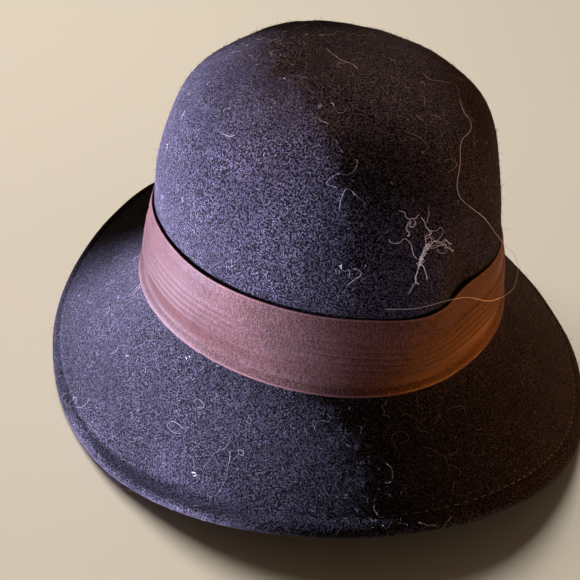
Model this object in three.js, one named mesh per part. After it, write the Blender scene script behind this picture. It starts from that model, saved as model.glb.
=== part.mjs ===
// A round-crowned felt hat with a down-turned brim and a wide ribbon band, lying on a table.
// Millimetres, +Z up. The brim's front points along -Y, and the table is the plane z = 0.
// The hat is worked out upright, around its head opening, then tipped back on the sides of its brim.

import * as THREE from 'three';

// ---------- Driving dimensions ----------

// The head's oval, measured outside the felt at the top of the brim's break.
const OVAL = { halfWidth: 83.5, halfLength: 100, cornerTuck: 0.03 };

// The crown: its height above the brim's break, and how square its walls and its top are.
const CROWN = { height: 117, wallSquareness: 3.8, topSquareness: 2.9 };

// The wall flares into the brim in a soft break: a cubic curve bent by a corner and by a shoulder.
const BREAK = { top: 34, cornerOut: 0.3, cornerHeight: -9, shoulderOut: 12, shoulderHeight: 0.5 };

// The brim's sections, on both sides of the hat: how wide it is, measured level from the wall, and how
// far the middle of its edge lies below the break.
const BRIM_SECTIONS = [
  { turn: 0, width: 61.2, drop: 25 },
  { turn: 15, width: 60.6, drop: 28.5 },
  { turn: 30, width: 59.5, drop: 36.5 },
  { turn: 45, width: 58, drop: 44.5 },
  { turn: 55, width: 57.1, drop: 47.7 },
  { turn: 65, width: 56.1, drop: 48 },
  { turn: 75, width: 54.9, drop: 46.3 },
  { turn: 90, width: 53.7, drop: 43.2 },
  { turn: 100, width: 54.9, drop: 41 },
  { turn: 110, width: 56, drop: 37.6 },
  { turn: 120, width: 56.9, drop: 32 },
  { turn: 135, width: 58, drop: 23.3 },
  { turn: 150, width: 59.6, drop: 17 },
  { turn: 165, width: 60.9, drop: 14 },
  { turn: 180, width: 61.3, drop: 13 },
];

// Swells and dents of the handled crown: out is how far the felt moves, bandOut how far the ribbon does.
const CROWN_SHAPING = [
  { turn: 12, height: 40, turnReach: 12, heightReach: 24, out: 3, bandOut: 4.2 },
  { turn: 33, height: 40, turnReach: 10, heightReach: 22, out: -4.2, bandOut: -2 },
  { turn: 54, height: 38, turnReach: 12, heightReach: 18, out: 1, bandOut: 1.6 },
  { turn: -48, height: 36, turnReach: 18, heightReach: 18, out: 0.3, bandOut: 1 },
  { turn: -78, height: 36, turnReach: 18, heightReach: 22, out: -2, bandOut: -2 },
  { turn: 85, height: 68, turnReach: 34, heightReach: 20, out: -1.4, bandOut: -1.4 },
  { turn: 80, height: 96, turnReach: 30, heightReach: 15, out: 2.6, bandOut: 0 },
  { turn: -106, height: 80, turnReach: 24, heightReach: 14, out: -1.3, bandOut: 0 },
  { turn: -143, height: 108, turnReach: 26, heightReach: 9, out: -3.4, bandOut: 0 },
];

const FELT_THICKNESS = 2.3;
const HEM = { width: 8, thickness: 4.6 };

// The ribbon: its top edge lies at a height on the wall, and the rest at shares of the brim's curve.
// gap is how far its back stands off the felt, because the stiff ribbon bridges the break.
const BAND = { topHeight: 38, topGap: 1.3, thickness: 1 };
const BAND_FLARE = [
  { across: 0, gap: 1.5 },
  { across: 0.07, gap: 2 },
  { across: 0.14, gap: 2.2 },
  { across: 0.2, gap: 1.7 },
  { across: 0.265, gap: 0.8 },
  { across: 0.32, gap: 0.6 },
  { across: 0.385, gap: 0.6 },
];

// How the hat lies: tipped back, its break this high over the table, its length centred on the origin.
const REST = { pitch: 5, height: 41.9, back: 1.42 };

// Fineness of the faceted walls.
const AROUND = 64;
const CROWN_ROWS = 17;
const BRIM_ROWS = 9;
const EDGE_ROWS = 6;

const FELT_COLOUR = 0x23202f;
const RIBBON_COLOUR = 0x6d3f49;

// ---------- Helpers ----------

const UP = new THREE.Vector3(0, 0, 1);
const SIDEWAYS = new THREE.Vector3(1, 0, 0);
const STEP = 1e-4;

/** Reads a column of a table by turn, in degrees from 0 to 180, on a smooth curve level at both ends. */
function readTable(rows, column, turn) {
  const next = Math.max(1, rows.findIndex((row) => row.turn >= turn));
  const [low, high] = [rows[next - 1], rows[next]];
  const slope = (index) => {
    if (index === 0 || index === rows.length - 1) return 0;
    const [before, after] = [rows[index - 1], rows[index + 1]];
    return (after[column] - before[column]) / (after.turn - before.turn);
  };
  const span = high.turn - low.turn;
  const t = (turn - low.turn) / span;
  const rise = t * t * (3 - 2 * t);
  const startPull = t * (1 - t) * (1 - t) * span * slope(next - 1);
  const endPull = t * t * (1 - t) * span * slope(next);
  return low[column] + (high[column] - low[column]) * rise + startPull - endPull;
}

/** A turn in radians as degrees from the front, 0 to 180, the same on both sides of the hat. */
function degreesFromFront(turn) {
  const folded = Math.abs(THREE.MathUtils.euclideanModulo(turn + Math.PI, 2 * Math.PI) - Math.PI);
  return Math.min(180, THREE.MathUtils.radToDeg(folded));
}

/** The sum of the crown's swells and dents at a turn in radians and a height. */
function shaping(turn, height, column) {
  let sum = 0;
  for (const row of CROWN_SHAPING) {
    const away = THREE.MathUtils.radToDeg(turn) - row.turn;
    const aside = (THREE.MathUtils.euclideanModulo(away + 180, 360) - 180) / row.turnReach;
    const above = (height - row.height) / row.heightReach;
    sum += row[column] * Math.exp(-aside * aside - above * above);
  }
  return sum;
}

// ---------- The hat's upright surface ----------

/** The head oval's point and outward direction at a turn: 0 is the front, a quarter turn is +X. */
function ovalAt(turn) {
  const tuck = 1 - OVAL.cornerTuck * Math.sin(2 * turn) ** 2;
  const tuckSlope = -2 * OVAL.cornerTuck * Math.sin(4 * turn);
  const point = new THREE.Vector2(
    OVAL.halfWidth * Math.sin(turn) * tuck,
    -OVAL.halfLength * Math.cos(turn) * tuck,
  );
  const along = new THREE.Vector2(
    OVAL.halfWidth * (Math.cos(turn) * tuck + Math.sin(turn) * tuckSlope),
    OVAL.halfLength * (Math.sin(turn) * tuck - Math.cos(turn) * tuckSlope),
  );
  const outward = new THREE.Vector2(along.y, -along.x).normalize();
  return { point, outward };
}

/** The crown's meridian as its share of the oval (x) and its height (y), from the apex to the break. */
class CrownMeridian extends THREE.Curve {
  getPoint(t, target = new THREE.Vector2()) {
    const lowest = Math.acos((BREAK.top / CROWN.height) ** (CROWN.wallSquareness / 2));
    const angle = lowest * t;
    const share = (Math.sin(angle) / Math.sin(lowest)) ** (2 / CROWN.topSquareness);
    const height = CROWN.height * Math.cos(angle) ** (2 / CROWN.wallSquareness);
    return target.set(share * OVAL.halfLength, height);
  }
}

const crownMeridian = new CrownMeridian();
crownMeridian.arcLengthDivisions = 800;

/** The crown's outer surface: down from 0 at the apex to 1 at the break. */
function crownPoint(turn, down, column = 'out') {
  const { point, outward } = ovalAt(turn);
  const meridian = crownMeridian.getPointAt(down);
  const share = meridian.x / OVAL.halfLength;
  const flat = point.multiplyScalar(share);
  flat.addScaledVector(outward, shaping(turn, meridian.y, column) * share);
  return new THREE.Vector3(flat.x, flat.y, meridian.y);
}

/** The brim's upper surface: across from 0 at the break to 1 at the edge, a cubic curve in each section. */
function brimPoint(turn, across, column = 'out') {
  const { point, outward } = ovalAt(turn);
  const width = readTable(BRIM_SECTIONS, 'width', degreesFromFront(turn));
  const drop = readTable(BRIM_SECTIONS, 'drop', degreesFromFront(turn));
  const section = new THREE.CubicBezierCurve(
    new THREE.Vector2(0, BREAK.top),
    new THREE.Vector2(BREAK.cornerOut, BREAK.cornerHeight),
    new THREE.Vector2(BREAK.shoulderOut, BREAK.shoulderHeight),
    new THREE.Vector2(width, HEM.thickness / 2 - drop),
  );
  const { x: out, y: height } = section.getPoint(across);
  const flat = point.addScaledVector(outward, out + shaping(turn, height, column));
  return new THREE.Vector3(flat.x, flat.y, height);
}

/** A surface's point, its outward direction and its direction away from the apex. */
function frameAt(surface, turn, place, column) {
  const point = surface(turn, place, column);
  const from = Math.max(0, place - STEP);
  const to = Math.min(1, place + STEP);
  const around = surface(turn + STEP, place, column).sub(surface(turn - STEP, place, column));
  const away = surface(turn, to, column).sub(surface(turn, from, column)).normalize();
  const normal = new THREE.Vector3().crossVectors(away, around).normalize();
  return { point, normal, away };
}

/** Tips an upright point back and sets it on the table, which flattens what would go below. */
function settle(point) {
  const settled = point.clone().applyAxisAngle(SIDEWAYS, THREE.MathUtils.degToRad(-REST.pitch));
  settled.y += REST.back;
  settled.z = Math.max(0, settled.z + REST.height);
  return settled;
}

/** A ring of settled points, one for each of the AROUND sections. */
function ring(pointAt) {
  const points = [];
  for (let index = 0; index < AROUND; index += 1) {
    points.push(settle(pointAt((2 * Math.PI * index) / AROUND)));
  }
  return points;
}

/** Evenly spaced numbers from the first to the last, both ends included. */
function spread(first, last, count) {
  return Array.from({ length: count }, (_, index) => first + ((last - first) * index) / (count - 1));
}

// ---------- Closed meshes from rings ----------

/** Joins rings in order. With two poles it closes to a skin, without them the last ring meets the first. */
function meshFromRings(rings, poles = []) {
  const positions = rings.flat().flatMap((point) => point.toArray());
  const faces = [];
  const at = (row, index) => row * AROUND + (index % AROUND);
  const links = poles.length ? rings.length - 1 : rings.length;
  for (let row = 0; row < links; row += 1) {
    const below = (row + 1) % rings.length;
    for (let index = 0; index < AROUND; index += 1) {
      faces.push(at(row, index), at(below, index), at(below, index + 1));
      faces.push(at(row, index), at(below, index + 1), at(row, index + 1));
    }
  }
  if (poles.length) {
    const [first, last] = poles;
    const firstIndex = positions.length / 3;
    positions.push(...first.toArray(), ...last.toArray());
    for (let index = 0; index < AROUND; index += 1) {
      faces.push(firstIndex, at(0, index), at(0, index + 1));
      faces.push(firstIndex + 1, at(rings.length - 1, index + 1), at(rings.length - 1, index));
    }
  }
  const geometry = new THREE.BufferGeometry();
  geometry.setAttribute('position', new THREE.Float32BufferAttribute(positions, 3));
  geometry.setIndex(faces);
  geometry.computeVertexNormals();
  return geometry;
}

// ---------- The felt body: crown, brim and folded hem in one piece ----------

function feltBody() {
  const hemShare = 1 - HEM.width / BRIM_SECTIONS[0].width;
  const crownRows = spread(0, 1, CROWN_ROWS).slice(1);
  const brimRows = spread(0, hemShare, BRIM_ROWS);
  const inside = (surface, place, depth) => (turn) => {
    const { point, normal } = frameAt(surface, turn, place);
    return point.addScaledVector(normal, -depth);
  };
  const edgeRadius = HEM.thickness / 2;
  const roundedEdge = (angle) => (turn) => {
    const { point, normal, away } = frameAt(brimPoint, turn, 1);
    const centre = point.addScaledVector(normal, -edgeRadius).addScaledVector(away, -edgeRadius);
    centre.addScaledVector(normal, edgeRadius * Math.cos(angle));
    return centre.addScaledVector(away, edgeRadius * Math.sin(angle));
  };
  const rings = [
    ...crownRows.map((down) => ring((turn) => crownPoint(turn, down))),
    ...brimRows.slice(1).map((across) => ring((turn) => brimPoint(turn, across))),
    ...spread(0, Math.PI, EDGE_ROWS).map((angle) => ring(roundedEdge(angle))),
    ring(inside(brimPoint, hemShare, HEM.thickness)),
    ring(inside(brimPoint, hemShare - 0.01, FELT_THICKNESS)),
    ...brimRows.slice(1, -1).reverse().map((across) => ring(inside(brimPoint, across, FELT_THICKNESS))),
    ...crownRows.slice().reverse().map((down) => ring(inside(crownPoint, down, FELT_THICKNESS))),
  ];
  const apex = new THREE.Vector3(0, 0, CROWN.height);
  const innerApex = apex.clone().addScaledVector(UP, -FELT_THICKNESS);
  return meshFromRings(rings, [settle(apex), settle(innerApex)]);
}

// ---------- The ribbon band: a thin ring down the wall and out over the break ----------

/** The place on the crown, 0 to 1, where its wall stands at a height. */
function placeAtHeight(height) {
  const fine = spread(0, 1, 2001);
  return fine.find((down) => crownMeridian.getPointAt(down).y <= height);
}

function hatBand() {
  const places = [
    { surface: crownPoint, place: placeAtHeight(BAND.topHeight), gap: BAND.topGap },
    ...BAND_FLARE.map(({ across, gap }) => ({ surface: brimPoint, place: across, gap })),
  ];
  const face = (thickness) => places.map(({ surface, place, gap }) => ring((turn) => {
    const { point, normal } = frameAt(surface, turn, place, 'bandOut');
    return point.addScaledVector(normal, gap + thickness);
  }));
  return meshFromRings([...face(BAND.thickness), ...face(0).reverse()]);
}

// ---------- Assembly ----------

function piece(name, geometry, colour, roughness) {
  const material = new THREE.MeshStandardMaterial({ color: colour, roughness, metalness: 0 });
  const mesh = new THREE.Mesh(geometry, material);
  mesh.name = name;
  return mesh;
}

const hat = new THREE.Group();
hat.name = 'felt_hat';
hat.add(piece('felt_body', feltBody(), FELT_COLOUR, 0.95));
hat.add(piece('hat_band', hatBand(), RIBBON_COLOUR, 0.6));

export default hat;
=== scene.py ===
"""A round-crowned felt hat with a tucked ribbon band, lying on the sides of its brim.

Fine surfaces, stitches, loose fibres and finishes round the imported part. Sizes are in millimetres and
become metres where a mesh is made. +Z is up, the brim's front points along -Y, and the table is z = 0.
A turn is an angle round the hat: 0 is the front and a quarter turn is +X. A place is a share of the way
from the apex: 0 is the apex, 1 the break where the wall meets the brim, and 2 the brim's edge.
EDGE_PLACE lies just inside the edge, where lengths along the brim are read, and past HEM_PLACE the felt
may have the hem's relief.
"""

import logging
import math
from dataclasses import dataclass
from enum import Enum
from typing import Mapping, NamedTuple, Sequence

import bpy
import numpy as np
from mathutils import Matrix, Vector

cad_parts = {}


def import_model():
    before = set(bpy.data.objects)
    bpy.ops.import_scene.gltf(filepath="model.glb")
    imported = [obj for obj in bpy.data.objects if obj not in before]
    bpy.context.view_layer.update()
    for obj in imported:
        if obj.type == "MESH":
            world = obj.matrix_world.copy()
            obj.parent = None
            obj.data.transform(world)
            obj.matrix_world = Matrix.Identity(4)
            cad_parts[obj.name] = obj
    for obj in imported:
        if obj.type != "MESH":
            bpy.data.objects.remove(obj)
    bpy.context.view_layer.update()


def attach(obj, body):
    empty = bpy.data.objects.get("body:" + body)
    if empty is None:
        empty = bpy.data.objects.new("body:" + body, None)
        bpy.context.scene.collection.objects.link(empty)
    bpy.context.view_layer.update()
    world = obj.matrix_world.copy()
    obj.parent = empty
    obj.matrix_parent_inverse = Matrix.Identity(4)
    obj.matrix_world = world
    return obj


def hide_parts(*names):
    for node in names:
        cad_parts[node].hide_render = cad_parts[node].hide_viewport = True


Array = np.ndarray
METRES = 0.001
FULL_TURN = 2 * math.pi
EDGE_PLACE = 1.99
HEM_PLACE = 1.5
log = logging.getLogger("hat")


# ---------- Tables ----------


class BrimSection(NamedTuple):
    """The brim at a turn in degrees, on both sides: its level width and how far its edge drops."""

    turn: float
    width: float
    drop: float


class Swell(NamedTuple):
    """A swell or dent of the crown: how far the felt and the ribbon move out round a turn and a height."""

    turn: float
    height: float
    turn_reach: float
    height_reach: float
    out: float
    band_out: float


class HemSection(NamedTuple):
    """The hem at a turn in degrees.

    How far the edge is drawn in, the seam's distance from it, how far the roll puffs up and over what
    length it falls to the seam, the narrow groove along the seam, the wide valley beside it, and how
    high the stitches lie.
    """

    turn: float
    inset: float
    seam: float
    roll: float
    flank: float
    groove: float
    valley: float
    stitch: float


class BandSection(NamedTuple):
    """The ribbon at a turn in degrees: its gap at the top, how strong its bulge and its tucks are."""

    turn: float
    gap: float
    bulge: float
    tuck: float


class FlareStep(NamedTuple):
    """The ribbon's back at a place: how far it stands off the felt."""

    place: float
    gap: float


class BulgeStep(NamedTuple):
    """The ribbon's bulge at a share of its height from the lower edge: how far it comes out."""

    share: float
    out: float


class Wave(NamedTuple):
    """A slow wave over a cloth: its height, how often it repeats round and down it, and its phase."""

    height: float
    around: float
    down: float
    phase: float


BRIM_SECTIONS = (
    BrimSection(0, 61.2, 25),
    BrimSection(15, 60.6, 28.5),
    BrimSection(30, 59.5, 36.5),
    BrimSection(45, 58, 44.5),
    BrimSection(55, 57.1, 47.7),
    BrimSection(65, 56.1, 48),
    BrimSection(75, 54.9, 46.3),
    BrimSection(90, 53.7, 43.2),
    BrimSection(100, 54.9, 41),
    BrimSection(110, 56, 37.6),
    BrimSection(120, 56.9, 32),
    BrimSection(135, 58, 23.3),
    BrimSection(150, 59.6, 17),
    BrimSection(165, 60.9, 14),
    BrimSection(180, 61.3, 13),
)

SWELLS = (
    Swell(12, 40, 12, 24, 3.6, 4.2),
    Swell(33, 40, 10, 22, -3.5, -2.2),
    Swell(54, 38, 12, 18, 1, 0.7),
    Swell(-48, 36, 18, 18, 0.3, 1),
    Swell(-78, 36, 18, 22, -2, -1.2),
    Swell(85, 68, 34, 20, -1.4, -1.4),
    Swell(80, 96, 30, 15, 2.6, 0),
    Swell(-106, 80, 24, 14, -1.3, 0),
    Swell(-143, 108, 26, 9, -3.4, 0),
)

HEM_SECTIONS = (
    HemSection(-180, 0.3, 7.5, 0.3, 3, 0.3, 0.3, 0.1),
    HemSection(-130, 0.3, 6.5, 0.4, 2.5, 0.5, 0.3, -0.1),
    HemSection(-100, 0.6, 6.3, 0.35, 2.6, 0.75, 0.15, -0.3),
    HemSection(-80, 0.8, 7.3, 0.4, 3.0, 0.8, 0.2, -0.3),
    HemSection(-65, 1.3, 8.8, 0.7, 3.6, 0.8, 1.1, -0.3),
    HemSection(-50, 1.9, 10.5, 1.2, 6.8, 0.5, 3.3, -0.6),
    HemSection(-35, 1.4, 9.9, 1.1, 6.5, 0.35, 3.1, -0.5),
    HemSection(-15, 0.6, 8.1, 0.35, 4.2, 0.3, 0.9, -0.08),
    HemSection(5, 0.4, 8.0, 0.2, 3.5, 0.3, 0.2, 0.06),
    HemSection(30, 0.5, 9.3, 0.3, 3, 0.3, 0.4, 0.1),
    HemSection(70, 0.4, 8.5, 0.3, 3, 0.3, 0.3, 0.1),
    HemSection(180, 0.3, 7.5, 0.3, 3, 0.3, 0.3, 0.1),
)

BAND_SECTIONS = (
    BandSection(-180, 0.8, 0.6, 0.7),
    BandSection(-95, 0.5, 1, 0.6),
    BandSection(-60, 0.8, 0.9, 0.45),
    BandSection(-35, 0.9, 0.6, 0.3),
    BandSection(-15, 0.8, 0.6, 0.6),
    BandSection(8, 0.5, 1.1, 1),
    BandSection(30, 0.55, 1.1, 1),
    BandSection(60, 0.4, 0.9, 0.9),
    BandSection(100, 0.4, 0.7, 0.7),
    BandSection(180, 0.8, 0.6, 0.7),
)

FLARE_STEPS = (
    FlareStep(1, 1.5),
    FlareStep(1.07, 2),
    FlareStep(1.14, 2.2),
    FlareStep(1.2, 1.7),
    FlareStep(1.265, 0.8),
    FlareStep(1.32, 0.6),
    FlareStep(1.385, 0.6),
)

BULGE_STEPS = (
    BulgeStep(0, 0.1),
    BulgeStep(0.04, 0.1),
    BulgeStep(0.12, -0.6),
    BulgeStep(0.27, 1.1),
    BulgeStep(0.45, 0.95),
    BulgeStep(0.7, 0.55),
    BulgeStep(0.86, 0.15),
    BulgeStep(1, 0),
)

HOOD_WAVES = (
    Wave(0.12, 5, 9, 0),
    Wave(0.09, 11, -17, 1),
    Wave(0.07, 19, 31, 2),
)

TUCK_WAVES = (
    Wave(0.005, 3, 0, 0),
    Wave(0.003, 11, 0, 1),
)


def read_table(rows: Sequence[NamedTuple], column: str, key: Array) -> Array:
    """Reads a column of a table on a smooth curve: cubic pieces, level at both ends of the table.

    Between two rows the value eases from one to the next and is pulled towards the slope at each row,
    which is the slope from the row before it to the row after it.

    Args:
        rows: The table, in rising order of its first column.
        column: The column's name.
        key: Where to read, in the units of the first column.

    Returns:
        The column's value at each key.
    """
    keys = np.array([row[0] for row in rows], float)
    values = np.array([getattr(row, column) for row in rows], float)
    slopes = np.zeros_like(values)
    slopes[1:-1] = (values[2:] - values[:-2]) / (keys[2:] - keys[:-2])
    high = np.clip(np.searchsorted(keys, key), 1, len(keys) - 1)
    low = high - 1
    span = keys[high] - keys[low]
    t = (key - keys[low]) / span
    eased = values[low] + (values[high] - values[low]) * t * t * (3 - 2 * t)
    start_pull = t * (1 - t) ** 2 * span * slopes[low]
    end_pull = t * t * (1 - t) * span * slopes[high]
    return eased + start_pull - end_pull


def ripple(waves: Sequence[Wave], turn: Array, down: Array) -> Array:
    """The sum of slow waves: each is its height times the sine of a mix of the turn and the way down."""
    return sum(row.height * np.sin(row.around * turn + row.down * down + row.phase) for row in waves)


def signed_degrees(turn: Array) -> Array:
    """Gives turns in radians as degrees from -180 to 180."""
    return np.degrees(np.mod(turn + math.pi, FULL_TURN) - math.pi)


def run_along(line: Array) -> Array:
    """The length along a line of points up to each of them."""
    return np.concatenate([[0], np.cumsum(np.linalg.norm(np.diff(line, axis=0), axis=-1))])


def ease(share: Array) -> Array:
    """Rises smoothly from 0 to 1: three times the square of the share, less twice its cube."""
    return share * share * (3 - 2 * share)


def unit(vectors: Array) -> Array:
    """Scales vectors along the last axis to length 1."""
    return vectors / np.maximum(1e-12, np.linalg.norm(vectors, axis=-1, keepdims=True))


def bump(distance: Array, reach: float) -> Array:
    """A round hump: 1 at distance 0, and the exponential of minus the squared share of the reach."""
    return np.exp(-((distance / reach) ** 2))


# ---------- Meshes ----------


def make_object(name: str, points: Array, quads: Array, triangles: Array | None = None) -> bpy.types.Object:
    """Makes a smooth mesh object from arrays and links it to the scene.

    Args:
        name: The object's name.
        points: Corner positions in millimetres, one row each.
        quads: Corner numbers of the four-sided faces, one row each.
        triangles: Corner numbers of the three-sided faces, one row each.

    Returns:
        The new object, at the origin, with its place in its mesh.
    """
    triangles = np.empty((0, 3), int) if triangles is None else triangles
    corners = np.concatenate([quads.ravel(), triangles.ravel()]).astype(np.int32)
    sizes = np.concatenate([np.full(len(quads), 4), np.full(len(triangles), 3)])
    starts = np.concatenate([[0], np.cumsum(sizes)[:-1]]).astype(np.int32)
    mesh = bpy.data.meshes.new(name)
    mesh.vertices.add(len(points))
    mesh.vertices.foreach_set("co", (points * METRES).astype(np.float32).ravel())
    mesh.loops.add(len(corners))
    mesh.loops.foreach_set("vertex_index", corners)
    mesh.polygons.add(len(sizes))
    mesh.polygons.foreach_set("loop_start", starts)
    mesh.polygons.foreach_set("use_smooth", np.ones(len(sizes), bool))
    mesh.update(calc_edges=True)
    mesh.validate()
    made = bpy.data.objects.new(name, mesh)
    bpy.context.scene.collection.objects.link(made)
    return made


def ring_quads(rows: int, columns: int, closed: bool = False) -> Array:
    """Quads between rings of points that follow one another, each ring closed on itself.

    Args:
        rows: The number of rings.
        columns: The number of points in a ring.
        closed: Whether the last ring joins the first.

    Returns:
        Corner numbers, one row for each quad.
    """
    row, column = np.meshgrid(np.arange(rows if closed else rows - 1), np.arange(columns), indexing="ij")
    beside = (column + 1) % columns
    near, far = row * columns, (row + 1) % rows * columns
    corners = [near + column, far + column, far + beside, near + beside]
    return np.stack(corners, -1).reshape(-1, 4)


def tubes(paths: Array, up: Array, radii: Array, sides: int) -> tuple[Array, Array, Array]:
    """Carries a round section along many paths at once, pointed at both ends.

    Each inner point of a path becomes a ring: the point, plus the radius times the cosine of an angle
    along the side nearest to up, plus the radius times its sine along the other side. The first and
    last point of a path are its tips.

    Args:
        paths: Points of every path, as paths by points by 3.
        up: A direction for each point, about square to the path.
        radii: The radius at each point.
        sides: The number of sides of the section.

    Returns:
        Corner positions, quads and triangles.
    """
    count, steps = paths.shape[:2]
    along = unit(np.gradient(paths, axis=1))
    side = unit(np.cross(along, up))
    lifted = np.cross(side, along)
    level = np.cross(along, lifted)
    angle = FULL_TURN * np.arange(sides) / sides
    section = lifted[:, 1:-1, None] * np.cos(angle)[:, None] + level[:, 1:-1, None] * np.sin(angle)[:, None]
    rings = paths[:, 1:-1, None] + section * radii[:, 1:-1, None, None]
    inner = (steps - 2) * sides
    points = np.concatenate([rings.reshape(count, inner, 3), paths[:, :1], paths[:, -1:]], 1)
    base = np.arange(count)[:, None, None] * (inner + 2)
    near, next_side = np.arange(sides), (np.arange(sides) + 1) % sides
    row = np.arange(steps - 3)[:, None] * sides
    quads = np.stack([row + near, row + next_side, row + sides + next_side, row + sides + near], -1)
    last = inner - sides
    start = np.stack([np.full(sides, inner), next_side, near], -1)
    end = np.stack([np.full(sides, inner + 1), last + near, last + next_side], -1)
    triangles = np.concatenate([start, end])
    return (
        points.reshape(-1, 3),
        (base + quads.reshape(-1, 4)).reshape(-1, 4),
        (base + triangles).reshape(-1, 3),
    )


# ---------- The hat's form ----------


class Cloth(Enum):
    """Which cloth a surface is read for: its value names the column of the swells."""

    FELT = "out"
    RIBBON = "band_out"


@dataclass(frozen=True)
class HatForm:
    """The upright outer surface of the hat, and how it lies on the table."""

    half_width: float = 83.5
    half_length: float = 100.0
    corner_tuck: float = 0.03
    crown_height: float = 117.0
    wall_squareness: float = 3.8
    top_squareness: float = 2.9
    break_top: float = 34.0
    corner_out: float = 0.3
    corner_height: float = -9.0
    shoulder_out: float = 12.0
    shoulder_height: float = 0.5
    hem_thickness: float = 4.6
    pitch: float = 5.0
    rest_height: float = 41.9
    rest_back: float = 1.42
    fineness: int = 3001

    def oval(self, turn: Array) -> tuple[Array, Array]:
        """The head oval: an ellipse, drawn in a little at its four corners.

        Args:
            turn: Turns in radians.

        Returns:
            The oval's points and its outward directions, both level.
        """
        tuck = 1 - self.corner_tuck * np.sin(2 * turn) ** 2
        slope = -2 * self.corner_tuck * np.sin(4 * turn)
        across, ahead = np.sin(turn), np.cos(turn)
        point = np.stack([self.half_width * across * tuck, -self.half_length * ahead * tuck], -1)
        along_x = self.half_width * (ahead * tuck + across * slope)
        along_y = self.half_length * (across * tuck - ahead * slope)
        return point, unit(np.stack([along_y, -along_x], -1))

    def meridian(self, down: Array) -> tuple[Array, Array]:
        """The crown's section: powers of the sine and cosine of an angle, evenly spaced along its length.

        Args:
            down: The share of the way from the apex to the break.

        Returns:
            The share of the oval and the height at each place.
        """
        lowest = math.acos((self.break_top / self.crown_height) ** (self.wall_squareness / 2))
        angle = np.linspace(0, lowest, self.fineness)
        share = (np.sin(angle) / math.sin(lowest)) ** (2 / self.top_squareness)
        height = self.crown_height * np.cos(angle) ** (2 / self.wall_squareness)
        steps = np.hypot(np.diff(share * self.half_length), np.diff(height))
        run = np.concatenate([[0], np.cumsum(steps)])
        run /= run[-1]
        return np.interp(down, run, share), np.interp(down, run, height)

    def swell(self, turn: Array, height: Array, cloth: Cloth) -> Array:
        """The sum of the swells: round humps over the turn and the height."""
        total = np.zeros(np.broadcast(turn, height).shape)
        for row in SWELLS:
            beside = bump(signed_degrees(turn - math.radians(row.turn)), row.turn_reach)
            above = bump(height - row.height, row.height_reach)
            total += getattr(row, cloth.value) * beside * above
        return total

    def surface(self, turn: Array, place: Array, cloth: Cloth = Cloth.FELT) -> Array:
        """The upright outer surface: the crown's section times the oval, then a cubic curve for the brim.

        Args:
            turn: Turns in radians.
            place: Places from 0 at the apex to 2 at the brim's edge.
            cloth: The cloth whose swells count.

        Returns:
            The points, with the place's third number as the height over the break.
        """
        turn, place = np.broadcast_arrays(turn, place)
        oval, out = self.oval(turn)
        share, wall = self.meridian(np.clip(place, 0, 1))
        across = np.clip(place - 1, 0, 1)
        folded = np.abs(signed_degrees(turn))
        width = read_table(BRIM_SECTIONS, "width", folded)
        drop = read_table(BRIM_SECTIONS, "drop", folded)
        corner, shoulder, edge = 3 * across * (1 - across) ** 2, 3 * across**2 * (1 - across), across**3
        run = corner * self.corner_out + shoulder * self.shoulder_out + edge * width
        rise = (1 - across) ** 3 * self.break_top + corner * self.corner_height
        rise = rise + shoulder * self.shoulder_height + edge * (self.hem_thickness / 2 - drop)
        height = np.where(place < 1, wall, rise)
        moved = (run + self.swell(turn, height, cloth)) * share
        flat = oval * share[..., None] + out * moved[..., None]
        return np.concatenate([flat, height[..., None]], -1)

    def frame(self, turn: Array, place: Array, cloth: Cloth = Cloth.FELT) -> tuple[Array, Array, Array]:
        """The upright surface with its outward direction and its direction away from the apex.

        Args:
            turn: Turns in radians.
            place: Places from 0 to 2.
            cloth: The cloth whose swells count.

        Returns:
            Points, outward directions and directions away from the apex.
        """
        step = 1e-4
        turn, place = np.broadcast_arrays(turn, place)
        around = self.surface(turn + step, place, cloth) - self.surface(turn - step, place, cloth)
        upper, lower = np.maximum(0, place - step), np.minimum(2, place + step)
        away = unit(self.surface(turn, lower, cloth) - self.surface(turn, upper, cloth))
        return self.surface(turn, place, cloth), unit(np.cross(away, unit(around))), away

    def scales(self, turn: Array, place: Array) -> tuple[Array, Array]:
        """How many millimetres one radian of turn and one whole of place are worth at each point."""
        step = 1e-3
        around = self.surface(turn + step, place) - self.surface(turn - step, place)
        away = self.surface(turn, place + step) - self.surface(turn, place - step)
        return np.linalg.norm(around, axis=-1) / (2 * step), np.linalg.norm(away, axis=-1) / (2 * step)

    def edge_place(self, turn: Array, distance: Array | float) -> Array:
        """The places that lie at a distance, along the brim, from its edge."""
        scale = self.scales(turn, np.full_like(turn, EDGE_PLACE))[1]
        guess = 2 - distance / scale
        gap = self.surface(turn, guess) - self.surface(turn, np.full_like(turn, 2.0))
        return 2 - (2 - guess) * distance / np.maximum(np.linalg.norm(gap, axis=-1), 1e-6)

    def settle(self, points: Array, lowest: float = 0.0) -> Array:
        """Tips upright points back and sets them on the table, which flattens what would go below it."""
        turned = self.tip(points)
        turned[..., 1] += self.rest_back
        turned[..., 2] = np.maximum(lowest, turned[..., 2] + self.rest_height)
        return turned

    def tip(self, vectors: Array) -> Array:
        """Turns vectors about the X axis by the hat's backward tip."""
        cosine, sine = math.cos(math.radians(-self.pitch)), math.sin(math.radians(-self.pitch))
        x, y, z = np.moveaxis(vectors, -1, 0)
        return np.stack([x, y * cosine - z * sine, y * sine + z * cosine], -1)


# ---------- The felt body ----------


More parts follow.
